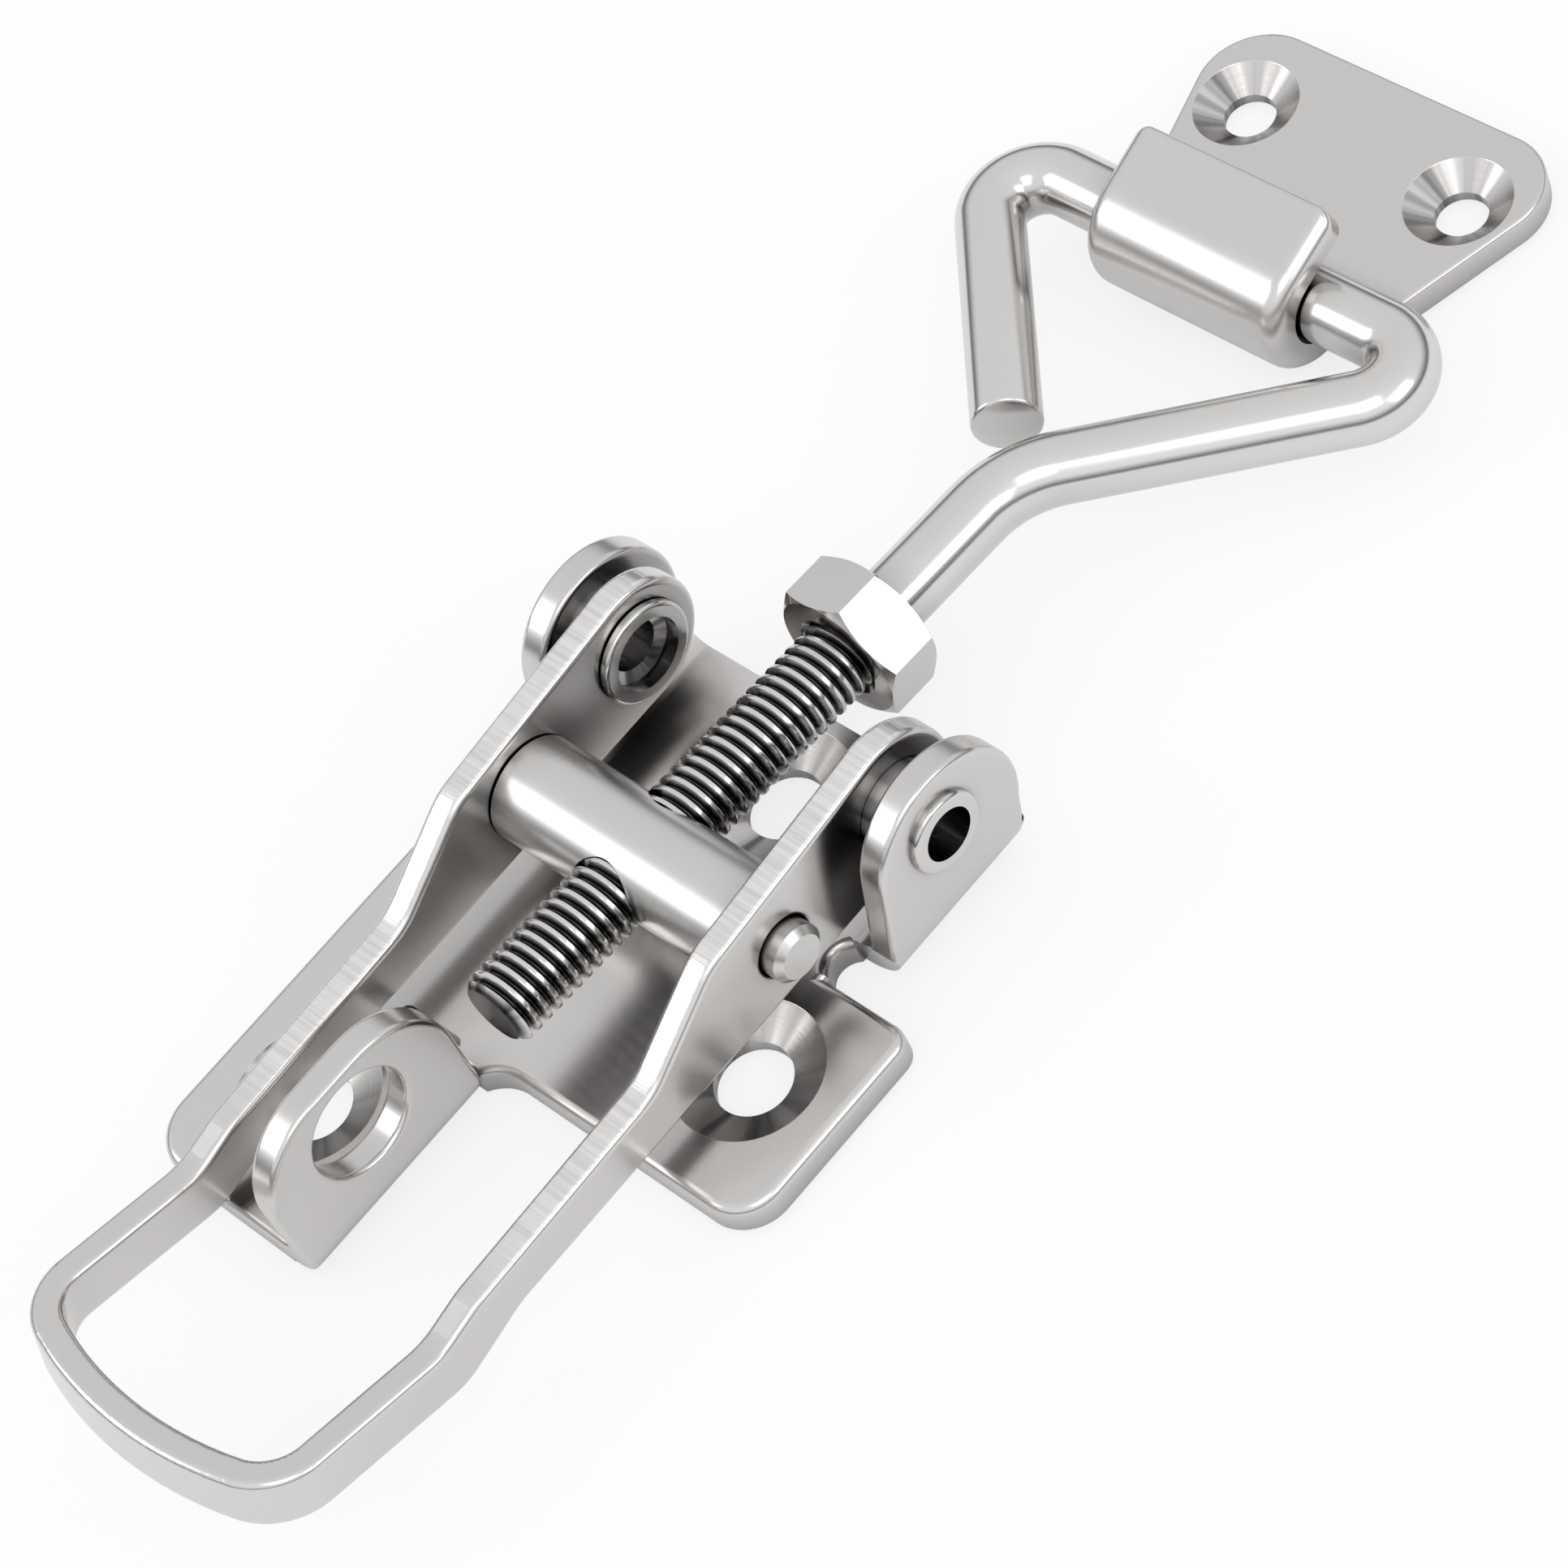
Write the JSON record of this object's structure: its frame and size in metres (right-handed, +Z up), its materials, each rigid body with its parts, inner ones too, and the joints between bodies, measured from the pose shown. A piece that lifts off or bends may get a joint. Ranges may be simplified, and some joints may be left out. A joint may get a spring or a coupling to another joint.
{
  "type": "over centre toggle latch",
  "caption": "Bright steel over centre toggle latch with folded base and padlock lug, loop lever, adjustable triangular hook bolt and rolled strike plate.",
  "frame": {"origin": "centre of the rear screw hole of the base, on the mounting face", "axes": "+Z up from the mounting face, +Y from the lever pivot towards the strike plate, +X along the pivot, to the side away from the padlock lug's long strip"},
  "size_m": [0.0424, 0.1357, 0.016],
  "materials": {
    "plated_sheet": "tumble polished sheet steel",
    "plated_turned": "bright turned steel",
    "plated_wire": "polished drawn rod"
  },
  "bodies": {
    "base": {"base_plate": "plated_sheet", "pivot_rivet_left": "plated_turned", "pivot_rivet_right": "plated_turned"},
    "lever": {"lever": "plated_sheet"},
    "trunnion": {"trunnion_barrel": "plated_turned"},
    "bolt": {"hook_bolt": "plated_wire"},
    "nut": {"lock_nut": "plated_turned"},
    "strike": {"strike_plate": "plated_sheet"}
  },
  "joints": [
    {"name": "lever_pivot", "type": "hinge", "parent": "base", "child": "lever", "pos_m": [0, 0.0011, 0.0105], "axis": [-1, 0, 0], "range_deg": [0, 160]},
    {"name": "barrel_turn", "type": "hinge", "parent": "lever", "child": "trunnion", "pos_m": [0, -0.0111, 0.00925], "axis": [-1, 0, 0], "range_deg": [-160, 0]},
    {"name": "bolt_adjust", "type": "slide", "parent": "trunnion", "child": "bolt", "axis": [0, 0.9979, -0.065], "range_m": [-0.002, 0.0105]},
    {"name": "nut_travel", "type": "slide", "parent": "bolt", "child": "nut", "axis": [0, 0.9979, -0.065], "range_m": [-0.013, 0]},
    {"name": "strike_swivel", "type": "hinge", "parent": "bolt", "child": "strike", "pos_m": [0, 0.0508, 0.00522], "axis": [-1, 0, 0], "range_deg": [-10, 90]}
  ],
  "couplings": [
    {"joint": "barrel_turn", "follows": "lever_pivot", "ratio": -1}
  ]
}
